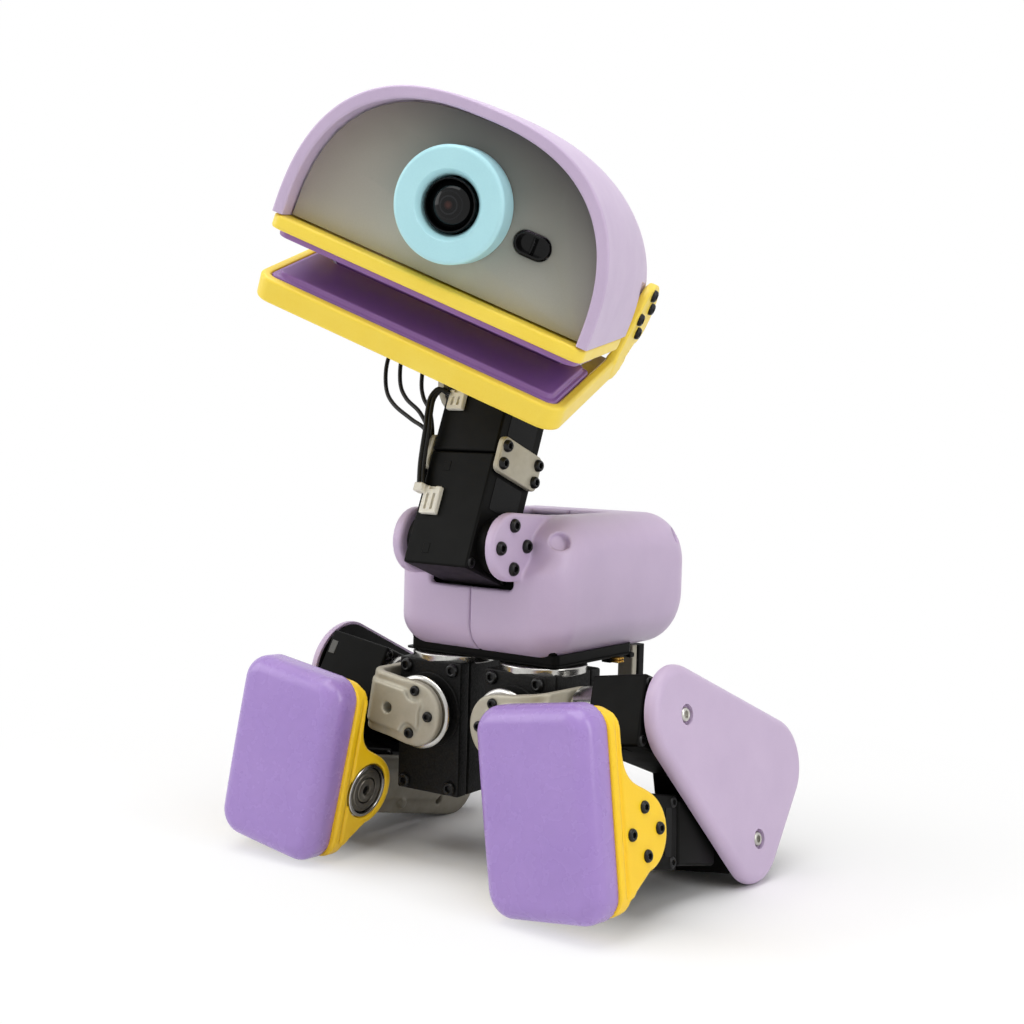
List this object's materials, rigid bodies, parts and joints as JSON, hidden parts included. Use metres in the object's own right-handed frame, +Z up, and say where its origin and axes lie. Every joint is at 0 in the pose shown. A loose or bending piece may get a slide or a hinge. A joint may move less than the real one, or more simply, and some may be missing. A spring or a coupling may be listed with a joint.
{
  "type": "seated two-legged robot with a hinged-jaw head",
  "caption": "Small desktop robot seated on two folded servo legs, with a leaning servo neck and a wide one-eyed head whose jaw opens on a hinge.",
  "frame": {"origin": "middle of the bounding box on the floor plane it sits on", "axes": "+Z up, -Y the way the torso faces, +X the robot's left"},
  "size_m": [0.1492, 0.1282, 0.2215],
  "materials": {
    "lilac_plastic": "smooth satin lilac",
    "yellow_plastic": "satin yellow",
    "purple_rubber": "soft matt purple",
    "plum_rubber": "soft matt plum",
    "cyan_plastic": "satin pale cyan",
    "smoked_face": "frosted grey",
    "cream_metal": "sandblasted warm grey",
    "steel": "turned steel",
    "board": "black circuit board",
    "cell_wrap": "shrink-wrapped cells",
    "lens_black": "glossy black",
    "lead_rubber": "black wire cover",
    "black_plastic": "moulded matt black"
  },
  "bodies": {
    "torso": {"body_shell_left": "lilac_plastic", "body_shell_right": "lilac_plastic", "base_board": "board", "battery_pack": "cell_wrap", "hip_yaw_servo_left": "black_plastic", "hip_yaw_servo_right": "black_plastic", "tail_post": "black_plastic"},
    "neck": {"neck_pitch_servo": "black_plastic", "head_pitch_servo": "black_plastic", "neck_plate_left": "cream_metal", "neck_plate_right": "cream_metal", "head_lead_1": "lead_rubber", "head_lead_2": "lead_rubber", "head_lead_3": "lead_rubber", "plug_lead": "lead_rubber"},
    "head_fork": {"head_yoke": "cream_metal", "head_yaw_servo": "black_plastic"},
    "head_turn": {"head_swivel": "steel", "head_roll_servo": "black_plastic"},
    "head": {"head_shell": "lilac_plastic", "face_plate": "smoked_face", "eye_ring": "cyan_plastic", "camera_barrel": "lens_black", "camera_board": "board", "range_sensor": "lens_black", "upper_jaw": "yellow_plastic", "palate": "plum_rubber", "jaw_servo": "black_plastic", "head_bracket": "steel"},
    "jaw": {"lower_jaw": "yellow_plastic", "tongue": "plum_rubber"},
    "hip_left": {"hip_yaw_disc_left": "steel", "hip_roll_servo_left": "black_plastic"},
    "spread_left": {"hip_roll_ring_left": "steel", "hip_bracket_left": "cream_metal"},
    "thigh_left": {"hip_pitch_servo_left": "black_plastic", "thigh_frame_left": "black_plastic", "thigh_cover_left": "lilac_plastic", "knee_servo_left": "black_plastic"},
    "shin_left": {"shin_plate_left": "cream_metal", "shin_bracket_left": "black_plastic", "ankle_servo_left": "black_plastic"},
    "foot_left": {"foot_frame_left": "yellow_plastic", "ankle_bearing_left": "steel", "foot_pad_left": "purple_rubber"},
    "hip_right": {"hip_yaw_disc_right": "steel", "hip_roll_servo_right": "black_plastic"},
    "spread_right": {"hip_roll_ring_right": "steel", "hip_bracket_right": "cream_metal"},
    "thigh_right": {"hip_pitch_servo_right": "black_plastic", "thigh_frame_right": "black_plastic", "thigh_cover_right": "lilac_plastic", "knee_servo_right": "black_plastic"},
    "shin_right": {"shin_plate_right": "cream_metal", "shin_bracket_right": "black_plastic", "ankle_servo_right": "black_plastic"},
    "foot_right": {"foot_frame_right": "yellow_plastic", "ankle_bearing_right": "steel", "foot_pad_right": "purple_rubber"}
  },
  "joints": [
    {"name": "neck_pitch", "type": "hinge", "parent": "torso", "child": "neck", "pos_m": [0, -0.0162, 0.0958], "axis": [1, 0, 0], "range_deg": [-25, 12]},
    {"name": "head_pitch", "type": "hinge", "parent": "neck", "child": "head_fork", "pos_m": [0, 0.00106, 0.14198], "axis": [1, 0, 0], "range_deg": [-20, 8], "deforming": ["head_lead_1", "head_lead_2", "head_lead_3"]},
    {"name": "head_yaw", "type": "hinge", "parent": "head_fork", "child": "head_turn", "pos_m": [0, -0.00581, 0.18442], "axis": [0, -0.1599, 0.9871], "range_deg": [-55, 4]},
    {"name": "head_roll", "type": "hinge", "parent": "head_turn", "child": "head", "pos_m": [0, -0.00765, 0.19577], "axis": [-0.3313, 0.9314, 0.1509], "range_deg": [-45, 0]},
    {"name": "jaw_hinge", "type": "hinge", "parent": "head", "child": "jaw", "pos_m": [-0.01006, 0.01476, 0.18251], "axis": [0.8461, 0.3641, -0.3892], "range_deg": [-6, 2]},
    {"name": "hip_yaw_left", "type": "hinge", "parent": "torso", "child": "hip_left", "pos_m": [0.0165, 0.0025, 0.0599], "axis": [0, 0, 1], "range_deg": [-12, 12]},
    {"name": "hip_roll_left", "type": "hinge", "parent": "hip_left", "child": "spread_left", "pos_m": [0.0165, 0.0025, 0.0445], "axis": [-0.0489, -0.9988, 0], "range_deg": [-8, 8]},
    {"name": "hip_pitch_left", "type": "hinge", "parent": "spread_left", "child": "thigh_left", "pos_m": [0.01634, -0.0007, 0.04455], "axis": [0.9865, -0.0482, 0.1564], "range_deg": [-15, 15]},
    {"name": "knee_left", "type": "hinge", "parent": "thigh_left", "child": "shin_left", "pos_m": [0.02406, 0.03467, 0.00672], "axis": [-0.9865, 0.0482, -0.1564], "range_deg": [-25, 5]},
    {"name": "ankle_left", "type": "hinge", "parent": "shin_left", "child": "foot_left", "pos_m": [0.01936, -0.02287, 0.01867], "axis": [0.9865, -0.0482, 0.1564], "range_deg": [-12, 20]},
    {"name": "hip_yaw_right", "type": "hinge", "parent": "torso", "child": "hip_right", "pos_m": [-0.0165, 0.0025, 0.0599], "axis": [0, 0, -1], "range_deg": [-12, 12]},
    {"name": "hip_roll_right", "type": "hinge", "parent": "hip_right", "child": "spread_right", "pos_m": [-0.0165, 0.0025, 0.0445], "axis": [-0.0489, 0.9988, 0], "range_deg": [-8, 8]},
    {"name": "hip_pitch_right", "type": "hinge", "parent": "spread_right", "child": "thigh_right", "pos_m": [-0.01634, -0.0007, 0.04455], "axis": [0.9865, 0.0482, -0.1564], "range_deg": [-15, 15]},
    {"name": "knee_right", "type": "hinge", "parent": "thigh_right", "child": "shin_right", "pos_m": [-0.02406, 0.03467, 0.00672], "axis": [-0.9865, -0.0482, 0.1564], "range_deg": [-25, 5]},
    {"name": "ankle_right", "type": "hinge", "parent": "shin_right", "child": "foot_right", "pos_m": [-0.01936, -0.02287, 0.01867], "axis": [0.9865, 0.0482, -0.1564], "range_deg": [-12, 20]}
  ]
}
